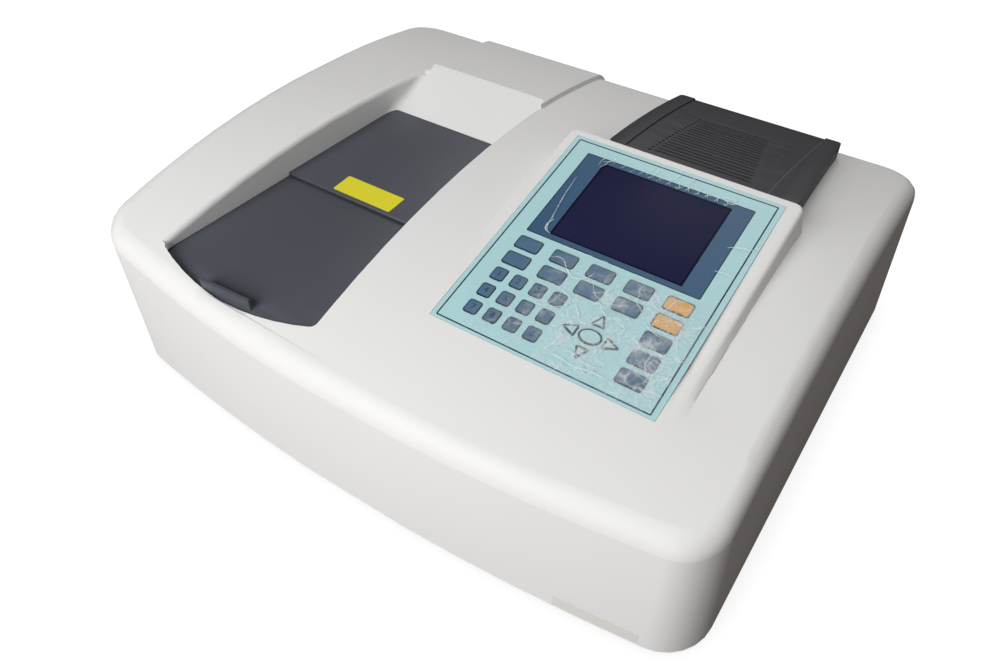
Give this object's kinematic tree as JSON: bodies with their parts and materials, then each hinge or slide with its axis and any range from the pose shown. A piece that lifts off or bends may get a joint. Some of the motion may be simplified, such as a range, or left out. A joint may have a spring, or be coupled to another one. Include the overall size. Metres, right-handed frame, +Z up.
{
  "type": "spectrophotometer",
  "caption": "Bench spectrophotometer with a bowed moulded housing, a sliding sample lid, a sprung keypad panel, a lift-off lamp cover and its optics inside.",
  "frame": {"origin": "on the table, at the centre of the footprint", "axes": "+X to the user's right, +Y to the back, +Z up"},
  "size_m": [0.626, 0.5253, 0.2042],
  "materials": {
    "cover_plastic": "satin off-white moulding",
    "pan_steel": "zinc-plated sheet",
    "slate_plastic": "fine matt slate grey",
    "overlay_film": "pale aqua printed film",
    "display_glass": "dark glossy window",
    "board_green": "green circuit board",
    "black_plastic": "matt black",
    "cast_aluminium": "cast and machined",
    "steel_sheet": "bent sheet",
    "lamp_glass": "clear quartz",
    "shell_metal": "plated shell",
    "vent_plastic": "matt charcoal",
    "black_anodised": "black anodised",
    "cell_glass": "clear optical glass",
    "turret_aluminium": "machined, with a ruled grating",
    "mirror_coat": "front-coated mirror",
    "black_gloss": "glossy black",
    "foot_rubber": "soft black rubber",
    "key_blue": "slate blue print",
    "key_yellow": "warm yellow print"
  },
  "bodies": {
    "housing": {"top_cover": "cover_plastic", "base_pan": "pan_steel", "foot_front_left": "foot_rubber", "foot_front_right": "foot_rubber", "foot_rear_left": "foot_rubber", "foot_rear_right": "foot_rubber", "rear_deck": "slate_plastic", "keypad_overlay": "overlay_film", "display_window": "display_glass", "display_module": "board_green", "sample_tub": "black_plastic", "monochromator_case": "cast_aluminium", "detector_block": "cast_aluminium", "lamp_house": "steel_sheet", "halogen_lamp": "lamp_glass", "deuterium_lamp": "lamp_glass", "main_board": "board_green", "power_supply": "steel_sheet", "fan_frame": "black_plastic", "power_inlet": "black_plastic", "data_port": "shell_metal"},
    "lid": {"sample_lid": "slate_plastic"},
    "carriage": {"cell_carriage": "black_anodised", "cuvette_reference": "cell_glass", "cuvette_sample": "cell_glass"},
    "vent_cover": {"lamp_cover": "vent_plastic"},
    "turret": {"grating_turret": "turret_aluminium"},
    "mirror": {"source_mirror": "mirror_coat"},
    "rotor": {"fan_rotor": "black_plastic"},
    "switch": {"power_switch": "black_gloss"},
    "key_number_1_1_body": {"key_number_1_1": "key_blue"},
    "key_number_1_2_body": {"key_number_1_2": "key_blue"},
    "key_number_1_3_body": {"key_number_1_3": "key_blue"},
    "key_number_1_4_body": {"key_number_1_4": "key_blue"},
    "key_number_2_1_body": {"key_number_2_1": "key_blue"},
    "key_number_2_2_body": {"key_number_2_2": "key_blue"},
    "key_number_2_3_body": {"key_number_2_3": "key_blue"},
    "key_number_2_4_body": {"key_number_2_4": "key_blue"},
    "key_number_3_1_body": {"key_number_3_1": "key_blue"},
    "key_number_3_2_body": {"key_number_3_2": "key_blue"},
    "key_number_3_3_body": {"key_number_3_3": "key_blue"},
    "key_number_3_4_body": {"key_number_3_4": "key_blue"},
    "key_function_1_1_body": {"key_function_1_1": "key_blue"},
    "key_function_1_2_body": {"key_function_1_2": "key_blue"},
    "key_function_1_3_body": {"key_function_1_3": "key_blue"},
    "key_function_1_4_body": {"key_function_1_4": "key_blue"},
    "key_function_2_1_body": {"key_function_2_1": "key_blue"},
    "key_function_2_2_body": {"key_function_2_2": "key_blue"},
    "key_function_2_3_body": {"key_function_2_3": "key_blue"},
    "key_function_2_4_body": {"key_function_2_4": "key_blue"},
    "key_side_1_body": {"key_side_1": "key_yellow"},
    "key_side_2_body": {"key_side_2": "key_yellow"},
    "key_side_3_body": {"key_side_3": "key_blue"},
    "key_side_4_body": {"key_side_4": "key_blue"},
    "key_side_5_body": {"key_side_5": "key_blue"},
    "key_cell_body": {"key_cell": "key_blue"},
    "key_right_body": {"key_right": "key_blue"},
    "key_up_body": {"key_up": "key_blue"},
    "key_left_body": {"key_left": "key_blue"},
    "key_down_body": {"key_down": "key_blue"}
  },
  "joints": [
    {"name": "lid_slide", "type": "slide", "parent": "housing", "child": "lid", "axis": [0, 1, 0], "range_m": [0, 0.145]},
    {"name": "carriage_slide", "type": "slide", "parent": "housing", "child": "carriage", "axis": [0, 1, 0], "range_m": [0, 0.045]},
    {"name": "lamp_cover_lift", "type": "slide", "parent": "housing", "child": "vent_cover", "axis": [0, 0, 1], "range_m": [0, 0.08]},
    {"name": "grating_turn", "type": "hinge", "parent": "housing", "child": "turret", "pos_m": [0.081, -0.085, 0.05], "axis": [0, 0, 1], "range_deg": [-30, 30]},
    {"name": "mirror_swing", "type": "hinge", "parent": "housing", "child": "mirror", "pos_m": [0.1415, 0.1426, 0.06], "axis": [0, 0, 1], "range_deg": [-45, 45]},
    {"name": "fan_spin", "type": "hinge", "parent": "housing", "child": "rotor", "pos_m": [0.1415, 0.24, 0.0643], "axis": [0, 1, 0], "continuous": true},
    {"name": "switch_rock", "type": "hinge", "parent": "housing", "child": "switch", "pos_m": [-0.075, 0.249, 0.052], "axis": [1, 0, 0], "range_deg": [0, 10]},
    {"name": "key_number_1_1_press", "type": "slide", "parent": "housing", "child": "key_number_1_1_body", "axis": [0, 0.1668, -0.986], "range_m": [0, 0.0004], "stiffness_N_per_m": 1000},
    {"name": "key_number_1_2_press", "type": "slide", "parent": "housing", "child": "key_number_1_2_body", "axis": [0, 0.1668, -0.986], "range_m": [0, 0.0004], "stiffness_N_per_m": 1000},
    {"name": "key_number_1_3_press", "type": "slide", "parent": "housing", "child": "key_number_1_3_body", "axis": [0, 0.1668, -0.986], "range_m": [0, 0.0004], "stiffness_N_per_m": 1000},
    {"name": "key_number_1_4_press", "type": "slide", "parent": "housing", "child": "key_number_1_4_body", "axis": [0, 0.1668, -0.986], "range_m": [0, 0.0004], "stiffness_N_per_m": 1000},
    {"name": "key_number_2_1_press", "type": "slide", "parent": "housing", "child": "key_number_2_1_body", "axis": [0, 0.1668, -0.986], "range_m": [0, 0.0004], "stiffness_N_per_m": 1000},
    {"name": "key_number_2_2_press", "type": "slide", "parent": "housing", "child": "key_number_2_2_body", "axis": [0, 0.1668, -0.986], "range_m": [0, 0.0004], "stiffness_N_per_m": 1000},
    {"name": "key_number_2_3_press", "type": "slide", "parent": "housing", "child": "key_number_2_3_body", "axis": [0, 0.1668, -0.986], "range_m": [0, 0.0004], "stiffness_N_per_m": 1000},
    {"name": "key_number_2_4_press", "type": "slide", "parent": "housing", "child": "key_number_2_4_body", "axis": [0, 0.1668, -0.986], "range_m": [0, 0.0004], "stiffness_N_per_m": 1000},
    {"name": "key_number_3_1_press", "type": "slide", "parent": "housing", "child": "key_number_3_1_body", "axis": [0, 0.1668, -0.986], "range_m": [0, 0.0004], "stiffness_N_per_m": 1000},
    {"name": "key_number_3_2_press", "type": "slide", "parent": "housing", "child": "key_number_3_2_body", "axis": [0, 0.1668, -0.986], "range_m": [0, 0.0004], "stiffness_N_per_m": 1000},
    {"name": "key_number_3_3_press", "type": "slide", "parent": "housing", "child": "key_number_3_3_body", "axis": [0, 0.1668, -0.986], "range_m": [0, 0.0004], "stiffness_N_per_m": 1000},
    {"name": "key_number_3_4_press", "type": "slide", "parent": "housing", "child": "key_number_3_4_body", "axis": [0, 0.1668, -0.986], "range_m": [0, 0.0004], "stiffness_N_per_m": 1000},
    {"name": "key_function_1_1_press", "type": "slide", "parent": "housing", "child": "key_function_1_1_body", "axis": [0, 0.1668, -0.986], "range_m": [0, 0.0004], "stiffness_N_per_m": 1000},
    {"name": "key_function_1_2_press", "type": "slide", "parent": "housing", "child": "key_function_1_2_body", "axis": [0, 0.1668, -0.986], "range_m": [0, 0.0004], "stiffness_N_per_m": 1000},
    {"name": "key_function_1_3_press", "type": "slide", "parent": "housing", "child": "key_function_1_3_body", "axis": [0, 0.1668, -0.986], "range_m": [0, 0.0004], "stiffness_N_per_m": 1000},
    {"name": "key_function_1_4_press", "type": "slide", "parent": "housing", "child": "key_function_1_4_body", "axis": [0, 0.1668, -0.986], "range_m": [0, 0.0004], "stiffness_N_per_m": 1000},
    {"name": "key_function_2_1_press", "type": "slide", "parent": "housing", "child": "key_function_2_1_body", "axis": [0, 0.1668, -0.986], "range_m": [0, 0.0004], "stiffness_N_per_m": 1000},
    {"name": "key_function_2_2_press", "type": "slide", "parent": "housing", "child": "key_function_2_2_body", "axis": [0, 0.1668, -0.986], "range_m": [0, 0.0004], "stiffness_N_per_m": 1000},
    {"name": "key_function_2_3_press", "type": "slide", "parent": "housing", "child": "key_function_2_3_body", "axis": [0, 0.1668, -0.986], "range_m": [0, 0.0004], "stiffness_N_per_m": 1000},
    {"name": "key_function_2_4_press", "type": "slide", "parent": "housing", "child": "key_function_2_4_body", "axis": [0, 0.1668, -0.986], "range_m": [0, 0.0004], "stiffness_N_per_m": 1000},
    {"name": "key_side_1_press", "type": "slide", "parent": "housing", "child": "key_side_1_body", "axis": [0, 0.1668, -0.986], "range_m": [0, 0.0004], "stiffness_N_per_m": 1000},
    {"name": "key_side_2_press", "type": "slide", "parent": "housing", "child": "key_side_2_body", "axis": [0, 0.1668, -0.986], "range_m": [0, 0.0004], "stiffness_N_per_m": 1000},
    {"name": "key_side_3_press", "type": "slide", "parent": "housing", "child": "key_side_3_body", "axis": [0, 0.1668, -0.986], "range_m": [0, 0.0004], "stiffness_N_per_m": 1000},
    {"name": "key_side_4_press", "type": "slide", "parent": "housing", "child": "key_side_4_body", "axis": [0, 0.1668, -0.986], "range_m": [0, 0.0004], "stiffness_N_per_m": 1000},
    {"name": "key_side_5_press", "type": "slide", "parent": "housing", "child": "key_side_5_body", "axis": [0, 0.1668, -0.986], "range_m": [0, 0.0004], "stiffness_N_per_m": 1000},
    {"name": "key_cell_press", "type": "slide", "parent": "housing", "child": "key_cell_body", "axis": [0, 0.1668, -0.986], "range_m": [0, 0.0004], "stiffness_N_per_m": 1000},
    {"name": "key_right_press", "type": "slide", "parent": "housing", "child": "key_right_body", "axis": [0, 0.1668, -0.986], "range_m": [0, 0.0004], "stiffness_N_per_m": 1000},
    {"name": "key_up_press", "type": "slide", "parent": "housing", "child": "key_up_body", "axis": [0, 0.1668, -0.986], "range_m": [0, 0.0004], "stiffness_N_per_m": 1000},
    {"name": "key_left_press", "type": "slide", "parent": "housing", "child": "key_left_body", "axis": [0, 0.1668, -0.986], "range_m": [0, 0.0004], "stiffness_N_per_m": 1000},
    {"name": "key_down_press", "type": "slide", "parent": "housing", "child": "key_down_body", "axis": [0, 0.1668, -0.986], "range_m": [0, 0.0004], "stiffness_N_per_m": 1000}
  ]
}
